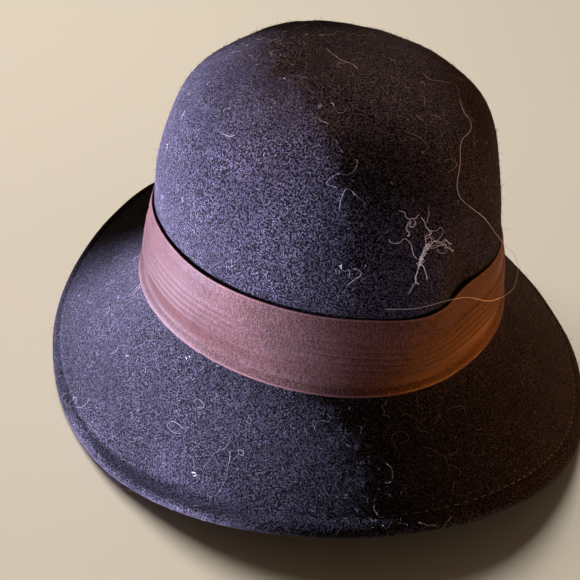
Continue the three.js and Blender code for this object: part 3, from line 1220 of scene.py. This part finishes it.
HAIR_ROUTE = (
    HairPoint(56.5, 0.455, 0.3),
    HairPoint(50, 0.495, 0.5),
    HairPoint(50, 0.525, 0.5),
    HairPoint(46, 0.545, 0.4),
    HairPoint(39, 0.55, 0.4),
    HairPoint(35, 0.57, 0.4),
    HairPoint(32, 0.605, 0.4),
    HairPoint(27.5, 0.655, 0.4),
    HairPoint(28.5, 0.695, 0.5),
    HairPoint(35.5, 0.75, 0.5),
    HairPoint(42, 0.80, 0.6),
    HairPoint(50, 0.88, 0.8),
    HairPoint(61, 0.985, 3.5),
    HairPoint(68, 1.06, 8),
    HairPoint(70, 1.17, 11),
    HairPoint(65, 1.2, 10),
    HairPoint(55, 1.14, 9),
    HairPoint(42, 1.07, 7),
    HairPoint(30, 0.995, 5),
    HairPoint(18, 0.945, 2.6),
    HairPoint(9, 0.942, 0.9),
    HairPoint(0, 0.94, 0.4),
)


@dataclass(frozen=True)
class LooseHair:
    """One long hair caught on the felt that loops off the crown and back over the ribbon."""

    felt: FeltBody
    radius: float = 0.085
    up: tuple[float, float, float] = (0.1, -0.3, 1.0)
    points: int = 160
    sides: int = 5

    def build(self) -> bpy.types.Object:
        """Makes the hair: a smooth curve through its route's points, as a thin tube."""
        rows = np.array(HAIR_ROUTE, float)
        path = follow(self.felt.skin(np.radians(rows[:, 0]), rows[:, 1], rows[:, 2])[0], self.points)
        up = np.broadcast_to(np.array(self.up), path.shape)
        radii = np.full((1, self.points), self.radius)
        return make_object("loose_hair", *tubes(path[None], up[None], radii, self.sides))


# ---------- Shader maths ----------


class Wire:
    """A shader value that takes part in Python arithmetic: each operator adds a Math node."""

    def __init__(self, bench: "Bench", socket: bpy.types.NodeSocket) -> None:
        """Wraps a socket of the bench's tree."""
        self.bench = bench
        self.socket = socket

    def maths(self, operation: str, first: "Wire | float", second: "Wire | float") -> "Wire":
        """Adds a Math node on two values."""
        return self.bench.node("ShaderNodeMath", {"operation": operation}, {0: first, 1: second})

    def __add__(self, other: "Wire | float") -> "Wire":
        """Sum."""
        return self.maths("ADD", self, other)

    __radd__ = __add__

    def __mul__(self, other: "Wire | float") -> "Wire":
        """Product."""
        return self.maths("MULTIPLY", self, other)

    __rmul__ = __mul__

    def __sub__(self, other: "Wire | float") -> "Wire":
        """Difference."""
        return self.maths("SUBTRACT", self, other)

    def __rsub__(self, other: "Wire | float") -> "Wire":
        """Difference from a number."""
        return self.maths("SUBTRACT", other, self)

    def __abs__(self) -> "Wire":
        """Size without sign."""
        return self.bench.node("ShaderNodeMath", {"operation": "ABSOLUTE"}, {0: self})

    def ease(self, low: float, high: float) -> "Wire":
        """Rises smoothly from 0 where the value is low to 1 where it is high."""
        inputs = {"Value": self, "From Min": low, "From Max": high}
        return self.bench.node("ShaderNodeMapRange", {"interpolation_type": "SMOOTHSTEP"}, inputs)


class Bench:
    """One material's nodes, added one at a time."""

    def __init__(self, name: str) -> None:
        """Starts an empty material."""
        self.material = bpy.data.materials.new(name)
        self.material.use_nodes = True
        self.tree = self.material.node_tree
        self.tree.nodes.clear()

    def node(self, kind: str, settings: Mapping[str, object] | None = None,
             inputs: Mapping[str | int, object] | None = None, output: str | int = 0) -> Wire:
        """Adds a node.

        Args:
            kind: The node's type.
            settings: Its own settings, set first.
            inputs: Values or wires for its sockets, by name or number.
            output: The output to give back.

        Returns:
            The output as a wire.
        """
        node = self.tree.nodes.new(kind)
        for name, value in (settings or {}).items():
            setattr(node, name, value)
        for name, value in (inputs or {}).items():
            if isinstance(value, Wire):
                self.tree.links.new(value.socket, node.inputs[name])
            else:
                node.inputs[name].default_value = value
        return Wire(self, node.outputs[output])

    def place(self) -> Wire:
        """Where a point lies on its object, in metres."""
        return self.node("ShaderNodeTexCoord", output="Object")

    def bump(self, height: Wire, distance: float, strength: float) -> Wire:
        """A normal that follows a height."""
        return self.node("ShaderNodeBump", {}, {"Height": height, "Distance": distance, "Strength": strength})

    def mix(self, share: Wire | float, first: object, second: object) -> Wire:
        """Mixes two colours."""
        return self.node("ShaderNodeMix", {"data_type": "RGBA"}, {0: share, 6: first, 7: second}, 2)

    def noise(self, place: Wire, scale: float, detail: float = 2.0, shift: float = 0.0,
              warp: float = 0.0) -> Wire:
        """A noise from 0 to 1 over a place, shifted so that two noises differ."""
        moved = self.node("ShaderNodeVectorMath", {"operation": "ADD"}, {0: place, 1: (shift, shift, shift)})
        inputs = {"Vector": moved, "Scale": scale, "Detail": detail, "Distortion": warp}
        return self.node("ShaderNodeTexNoise", {}, inputs)

    def finish(self, varying: Mapping[str, object], steady: Mapping[str, object]) -> bpy.types.Material:
        """Closes the material with its shader.

        Args:
            varying: Sockets that follow the surface.
            steady: Sockets that are the same all over.

        Returns:
            The material.
        """
        shader = self.node("ShaderNodeBsdfPrincipled", {}, {**steady, **varying})
        output = self.tree.nodes.new("ShaderNodeOutputMaterial")
        self.tree.links.new(shader.socket, output.inputs["Surface"])
        return self.material


Colour = tuple[float, float, float, float]


@dataclass(frozen=True)
class FeltFinish:
    """Dark navy wool felt: a tangle of fine pale fibres over a dark ground, with fibre glints painted on as
    pale specks, matt and hairy.
    """

    ground: Colour = (0.0007, 0.0006, 0.0013, 1)
    wool: Colour = (0.0255, 0.0217, 0.0335, 1)
    # The colour of the painted highlight: fibre glints painted into the felt as pale specks.
    pale: Colour = (0.30, 0.28, 0.33, 1)
    fibre_scale: float = 800.0
    grain_scale: float = 1330.0
    cloud_scale: float = 60.0
    relief: float = 0.00022

    def make(self) -> bpy.types.Material:
        """Makes the felt: a fine grain of two noises, with the level lines of three more as its fibres."""
        bench = Bench("navy_wool_felt")
        place = bench.place()
        steps = ((1.0, 0.0), (1.4, 3.1), (1.9, 7.7))
        curls = [self.fibres(bench, place, self.fibre_scale * scale, shift) for scale, shift in steps]
        tangle = curls[0] * 0.4 + curls[1] * 0.35 + curls[2] * 0.3
        coarse = bench.noise(place, self.grain_scale, 1, 1.9)
        fine = bench.noise(place, self.grain_scale * 2, 1, 4.2)
        height = coarse.ease(0.45, 0.55) * 0.64 + fine.ease(0.45, 0.55) * 0.24 + tangle * 0.12
        cloud = bench.noise(place, self.cloud_scale, 4, 5.3)
        colour = bench.mix(height.ease(0.34, 0.7), self.ground, self.wool)
        # Painted highlight: pale specks, where two grain noises and a slow cloud are high, stand for fibre
        # glints.
        fibre_glints = fine.ease(0.56, 0.72) * coarse.ease(0.48, 0.6) * cloud.ease(0.2, 0.7)
        colour = bench.mix(fibre_glints * 0.7, colour, self.pale)
        normal = bench.bump(height, self.relief, 1.0)
        steady = {
            "Roughness": 0.95,
            "Specular IOR Level": 0.06,
            "Sheen Weight": 0.05,
            "Sheen Roughness": 0.45,
            "Sheen Tint": (0.66, 0.62, 0.8, 1),
        }
        return bench.finish({"Base Color": colour, "Normal": normal}, steady)

    def fibres(self, bench: Bench, place: Wire, scale: float, shift: float) -> Wire:
        """Lines where a noise passes through its middle value, so that they curl as wool does."""
        field = bench.noise(place, scale, 1.5, shift, 0.6)
        return (1 - abs(field - 0.5) * 9).ease(0, 1)


@dataclass(frozen=True)
class RibbonFinish:
    """Burgundy satin ribbon: soft lustre, with a fine rib across it."""

    deep: Colour = (0.011, 0.0028, 0.002, 1)
    light: Colour = (0.088, 0.041, 0.038, 1)
    rib_pitch: float = 0.00055
    grain_scale: float = 1500.0
    cloud_scale: float = 28.0
    relief: float = 0.00012

    def make(self) -> bpy.types.Material:
        """Makes the ribbon: a noise drawn out across the cloth gives its ribs, and a finer one its grain."""
        bench = Bench("burgundy_satin_ribbon")
        cloth = bench.node("ShaderNodeUVMap", {"uv_map": "cloth"})
        place = bench.place()
        stretch = {"Vector": cloth, "Scale": (1 / self.rib_pitch, 9.0, 1.0)}
        ribs = bench.noise(bench.node("ShaderNodeMapping", {}, stretch), 1.0, 2)
        grain = bench.noise(place, self.grain_scale, 2)
        cloud = bench.noise(place, self.cloud_scale, 3, 4)
        weave = ribs * 0.35 + grain * 0.75
        share = bench.node("ShaderNodeSeparateXYZ", {}, {0: cloth}, 1)
        edge = (1 - share.ease(0.004, 0.02)) + share.ease(0.985, 0.997)
        shade = weave.ease(0.4, 0.75) * 0.55 + cloud.ease(0.3, 0.7) * 0.15 + edge * 0.35
        colour = bench.mix(shade, self.deep, self.light)
        normal = bench.bump(weave, self.relief, 0.5)
        steady = {
            "Specular IOR Level": 0.04,
            "Sheen Weight": 0.02,
            "Sheen Roughness": 0.35,
            "Sheen Tint": (1.0, 0.72, 0.8, 1),
        }
        varying = {"Base Color": colour, "Normal": normal, "Roughness": weave * 0.15 + 0.48}
        return bench.finish(varying, steady)


@dataclass(frozen=True)
class FibreFinish:
    """A fibre, thread or hair: one colour that pales and darkens along it."""

    name: str
    dark: Colour
    pale: Colour
    scale: float
    roughness: float = 0.7
    sheen: float = 0.2

    def make(self) -> bpy.types.Material:
        """Makes the fibre's material from a slow noise between its two colours."""
        bench = Bench(self.name)
        place = bench.place()
        colour = bench.mix(bench.noise(place, self.scale, 2).ease(0.3, 0.7), self.dark, self.pale)
        roughness = bench.noise(place, self.scale * 2) * 0.2 + self.roughness - 0.1
        varying = {"Base Color": colour, "Roughness": roughness}
        return bench.finish(varying, {"Specular IOR Level": 0.3, "Sheen Weight": self.sheen})


FIBRES = (
    FibreFinish("navy_wool_fibre", (0.004, 0.0035, 0.007, 1), (0.075, 0.07, 0.10, 1), 160),
    FibreFinish("pale_lint", (0.14, 0.13, 0.13, 1), (0.46, 0.44, 0.47, 1), 120, 0.6),
    FibreFinish("white_lint", (0.55, 0.57, 0.64, 1), (0.84, 0.86, 0.92, 1), 300, 0.6),
    FibreFinish("pale_thread", (0.09, 0.095, 0.10, 1), (0.20, 0.20, 0.21, 1), 260),
    FibreFinish("fair_hair", (0.42, 0.38, 0.35, 1), (0.80, 0.78, 0.76, 1), 60, 0.4, 0),
)


@dataclass(frozen=True)
class FloorFinish:
    """A plain pale floor with a very faint mottle."""

    colour: Colour = (0.76, 0.73, 0.68, 1)
    shade: Colour = (0.73, 0.70, 0.65, 1)
    mottle_scale: float = 3.0

    def make(self) -> bpy.types.Material:
        """Makes the floor's material."""
        bench = Bench("pale_floor")
        place = bench.place()
        colour = bench.mix(bench.noise(place, self.mottle_scale, 2), self.colour, self.shade)
        return bench.finish({"Base Color": colour}, {"Roughness": 0.7, "Specular IOR Level": 0.2})


# ---------- Studio ----------


class Lit(Enum):
    """What a lamp shines on: the floor has a lamp of its own, and the ribbon two for its lustre."""

    HAT = "hat"
    RIBBON = "ribbon"
    FLOOR = "floor"


class Lamp(NamedTuple):
    """A soft light panel in metres.

    Its name, what it lights, its place, what it faces, its size, power, spread in degrees and colour.
    """

    name: str
    lit: Lit
    place: tuple[float, float, float]
    target: tuple[float, float, float]
    width: float
    height: float
    power: float
    spread: float
    colour: tuple[float, float, float]


COOL = (0.72, 0.71, 1.0)

LAMPS = (
    Lamp("cool_side", Lit.HAT, (-0.511, 0.072, 0.038), (-0.048, -0.024, 0.108),
         0.12, 0.10, 0.57, 6, (0.71, 0.69, 1.0)),
    Lamp("cool_low", Lit.HAT, (-0.736, 0.279, 0.078), (-0.004, -0.081, 0.026),
         0.135, 0.065, 0.51, 7, COOL),
    Lamp("cool_rim", Lit.HAT, (-0.31, -0.33, 0.005), (-0.096, -0.115, 0.003),
         0.14, 0.012, 0.05, 3, COOL),
    Lamp("cool_hem", Lit.HAT, (-0.19, -0.40, 0.010), (-0.066, -0.138, 0.014),
         0.088, 0.018, 0.05, 3, COOL),
    Lamp("cool_front", Lit.HAT, (-0.60, -0.60, 0.102), (0.0, 0.0, 0.100),
         0.3, 0.06, 0.042, 4, COOL),
    Lamp("warm_side", Lit.HAT, (0.68, -0.18, 0.05), (0.0, 0.0, 0.06),
         0.3, 0.1, 1.35, 120, (1.0, 0.33, 0.06)),
    Lamp("warm_top", Lit.HAT, (-0.008, -0.01, 0.8), (-0.008, -0.01, 0.0),
         0.1, 0.1, 0.042, 4, (1.0, 0.62, 0.42)),
    Lamp("satin_cool", Lit.RIBBON, (-0.690, -0.545, 0.06), (-0.058, -0.070, 0.055),
         0.065, 0.06, 0.142, 6, (0.60, 0.70, 1.0)),
    Lamp("satin_warm", Lit.RIBBON, (0.676, -0.577, 0.09), (0.055, -0.070, 0.055),
         0.12, 0.06, 0.06, 6, (1.0, 0.48, 0.04)),
    Lamp("floor_top", Lit.FLOOR, (-0.4, 0.6, 1.6), (0.0, 0.0, 0.0),
         1.2, 1.2, 30.0, 180, (1.0, 0.92, 0.80)),
)


@dataclass(frozen=True)
class Studio:
    """A pale floor, soft lights and the camera, in millimetres but for the lamps' own sizes."""

    lamps: Sequence[Lamp] = LAMPS
    ambient: Colour = (1.0, 0.70, 0.42, 1)
    ambient_strength: float = 0.105
    floor_half: float = 4000.0
    floor_gap: float = 0.05
    focus: tuple[float, float, float] = (-20.24, -19.39, 46.8)
    distance: float = 500.0
    azimuth: float = -14.155
    elevation: float = 37.442
    roll: float = 4.603
    lens: float = 63.85
    sensor: float = 36.0

    def build(self, pieces: Sequence[bpy.types.Object]) -> None:
        """Sets up the floor, the ambient light, the lamps and the camera.

        Args:
            pieces: The hat's pieces.
        """
        ribbon = [piece for piece in pieces if "ribbon" in piece.name]
        groups = {Lit.HAT: pieces, Lit.RIBBON: ribbon, Lit.FLOOR: [self.lay_floor()]}
        lit = {kind: self.gather(kind, objects) for kind, objects in groups.items()}
        world = bpy.data.worlds.new("studio")
        world.use_nodes = True
        background = world.node_tree.nodes["Background"]
        background.inputs["Color"].default_value = self.ambient
        background.inputs["Strength"].default_value = self.ambient_strength
        bpy.context.scene.world = world
        for lamp in self.lamps:
            self.hang(lamp).light_linking.receiver_collection = lit[lamp.lit]
        self.aim_camera()
        bpy.context.scene.view_settings.view_transform = "Standard"

    def gather(self, kind: Lit, objects: Sequence[bpy.types.Object]) -> bpy.types.Collection:
        """Gathers the objects that a kind of lamp lights."""
        group = bpy.data.collections.new(kind.value)
        for thing in objects:
            group.objects.link(thing)
        return group

    def lay_floor(self) -> bpy.types.Object:
        """Lays a flat square just under the hat."""
        side, low = self.floor_half, -self.floor_gap
        corners = np.array([(-side, -side, low), (side, -side, low), (side, side, low), (-side, side, low)])
        floor = make_object("floor", corners, np.array([[0, 1, 2, 3]]))
        floor.data.materials.append(FloorFinish().make())
        return floor

    def hang(self, lamp: Lamp) -> bpy.types.Object:
        """Hangs one light panel, turned to its target."""
        data = bpy.data.lights.new(lamp.name, "AREA")
        data.shape = "RECTANGLE"
        data.size, data.size_y = lamp.width, lamp.height
        data.energy = lamp.power
        data.spread = math.radians(lamp.spread)
        data.color = lamp.colour
        light = bpy.data.objects.new(lamp.name, data)
        away = Vector(lamp.place) - Vector(lamp.target)
        turned = away.to_track_quat("Z", "Y").to_matrix().to_4x4()
        light.matrix_world = Matrix.Translation(lamp.place) @ turned
        light.visible_camera = False
        bpy.context.scene.collection.objects.link(light)
        return light

    def aim_camera(self) -> None:
        """Places the camera by its azimuth, elevation and roll about the point it looks at."""
        camera = bpy.data.objects.new("camera", bpy.data.cameras.new("camera"))
        camera.data.lens = self.lens
        camera.data.sensor_width = self.sensor
        camera.data.clip_start = 0.01
        turned = Matrix.Rotation(math.radians(self.azimuth), 4, "Z")
        turned = turned @ Matrix.Rotation(math.radians(90 - self.elevation), 4, "X")
        turned = turned @ Matrix.Rotation(math.radians(self.roll), 4, "Z")
        back = turned @ Vector((0, 0, self.distance))
        camera.matrix_world = Matrix.Translation((Vector(self.focus) + back) * METRES) @ turned
        bpy.context.scene.collection.objects.link(camera)
        bpy.context.scene.camera = camera


# ---------- Assembly ----------


def dress(piece: bpy.types.Object, material: bpy.types.Material) -> bpy.types.Object:
    """Gives a piece its material and its body, and reports it.

    Args:
        piece: The finished piece.
        material: Its material.

    Returns:
        The piece.
    """
    piece.data.materials.append(material)
    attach(piece, "root")
    triangles = sum(len(face.vertices) - 2 for face in piece.data.polygons)
    log.info("%s: %d triangles", piece.name, triangles)
    return piece


def build_hat() -> list[bpy.types.Object]:
    """Builds and dresses every piece of the hat, and gives them back."""
    form = HatForm()
    felt, ribbon = FeltBody(form), RibbonBand(form)
    fuzz_finish, lint_finish, tangle_finish, thread_finish, hair_finish = (row.make() for row in FIBRES)

    hood, band = felt.build(), ribbon.build()
    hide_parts("felt_body")
    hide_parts("hat_band")
    return [
        dress(hood, FeltFinish().make()),
        dress(band, RibbonFinish().make()),
        dress(HemStitches(felt).build(), thread_finish),
        dress(FeltFuzz(felt, Zone.CROWN, seed=21).build(), fuzz_finish),
        dress(FeltFuzz(felt, Zone.BRIM, seed=22).build(), fuzz_finish),
        dress(Lint(felt).build(), lint_finish),
        dress(Lint(felt).build_tangle(), tangle_finish),
        dress(LooseHair(felt).build(), hair_finish),
    ]


def main() -> None:
    """Loads the frame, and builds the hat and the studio."""
    logging.basicConfig(level=logging.INFO, format="%(message)s")
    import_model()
    Studio().build(build_hat())


if __name__ == "__main__":
    main()
